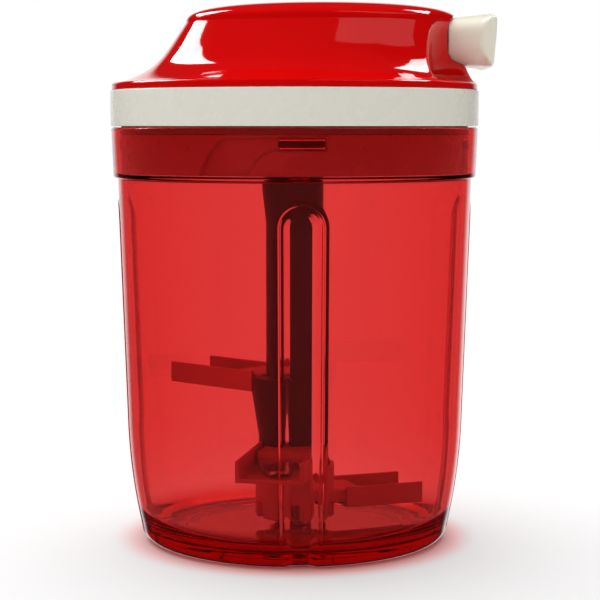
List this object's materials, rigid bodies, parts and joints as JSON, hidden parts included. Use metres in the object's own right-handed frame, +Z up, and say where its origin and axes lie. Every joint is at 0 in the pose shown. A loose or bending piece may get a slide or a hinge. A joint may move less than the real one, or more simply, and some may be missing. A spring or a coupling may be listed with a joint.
{
  "type": "pull-cord food chopper",
  "caption": "Hand food chopper: a clear round bowl with stacked blades on a centre column, driven by a pull-cord reel in a domed lid.",
  "frame": {"origin": "on the container's axis, in the plane of the foot ring's underside", "axes": "+Z up along the container's axis, +X the way the pull handle travels, -Y towards the picture's camera"},
  "size_m": [0.1412, 0.1352, 0.198],
  "materials": {
    "clear_red": "transparent tinted plastic, glossy",
    "red_gloss": "glossy moulded plastic",
    "red_plastic": "satin moulded plastic",
    "ivory": "satin-gloss moulded plastic",
    "grey_plastic": "plain moulded plastic",
    "steel": "ground stainless steel",
    "spring_steel": "blued spring strip",
    "bearing": "sintered bronze",
    "rubber_dark": "moulded rubber",
    "silicone": "silicone",
    "cord": "braided polyester cord"
  },
  "bodies": {
    "container_body": {"container": "clear_red", "base_ring": "rubber_dark", "pivot_pin": "steel"},
    "seal_body": {"seal_ring": "silicone"},
    "lid_body": {"lid_cover": "red_gloss", "lid_band": "ivory", "lid_base": "red_plastic", "spring_cup": "grey_plastic", "power_spring": "spring_steel", "cord_eyelet": "steel", "cord_lead": "cord", "reel_post": "steel", "reel_clip": "spring_steel", "spindle_bush": "bearing", "shaft_seal": "silicone", "lid_screws": "steel"},
    "handle_body": {"pull_handle": "ivory", "handle_cap": "ivory", "cord_knot": "cord"},
    "reel_body": {"reel": "grey_plastic", "reel_top_flange": "grey_plastic", "cord_wound": "cord"},
    "spindle_body": {"drive_spindle": "steel", "clutch_spring": "spring_steel"},
    "clutch_body": {"clutch_ring": "grey_plastic"},
    "blade_body": {"blade_carrier": "red_plastic", "pivot_bush": "bearing", "blade_upper": "steel", "blade_middle": "steel", "blade_lower": "steel", "blade_guard_upper": "red_plastic", "blade_guard_middle": "red_plastic", "blade_guard_lower": "red_plastic"}
  },
  "joints": [
    {"name": "lid_lift", "type": "slide", "parent": "container_body", "child": "seal_body", "axis": [0, 0, 1], "range_m": [0, 0.05]},
    {"name": "lid_turn", "type": "hinge", "parent": "seal_body", "child": "lid_body", "pos_m": [0, 0, 0.15], "axis": [0, 0, 1], "range_deg": [0, 105]},
    {"name": "handle_pull", "type": "slide", "parent": "lid_body", "child": "handle_body", "axis": [1, 0, 0], "range_m": [0, 0.3], "stiffness_N_per_m": 18, "springref_m": -0.12},
    {"name": "reel_spin", "type": "hinge", "parent": "lid_body", "child": "reel_body", "pos_m": [0, 0, 0.184], "axis": [0, 0, 1], "range_deg": [-861.4, 2]},
    {"name": "spindle_spin", "type": "hinge", "parent": "lid_body", "child": "spindle_body", "pos_m": [0, 0, 0.155], "axis": [0, 0, 1], "continuous": true},
    {"name": "clutch_slide", "type": "slide", "parent": "spindle_body", "child": "clutch_body", "axis": [0, 0, -1], "range_m": [0, 0.0012], "stiffness_N_per_m": 800, "springref_m": -0.001, "deforming": ["clutch_spring"]},
    {"name": "blade_spin", "type": "hinge", "parent": "container_body", "child": "blade_body", "pos_m": [0, 0, 0.012], "axis": [0, 0, 1], "continuous": true}
  ],
  "couplings": [
    {"joint": "lid_turn", "follows": "lid_lift", "rad_per_m": 36.303},
    {"joint": "reel_spin", "follows": "handle_pull", "rad_per_m": -50},
    {"joint": "spindle_spin", "follows": "handle_pull", "rad_per_m": -50},
    {"joint": "blade_spin", "follows": "handle_pull", "rad_per_m": -50}
  ]
}
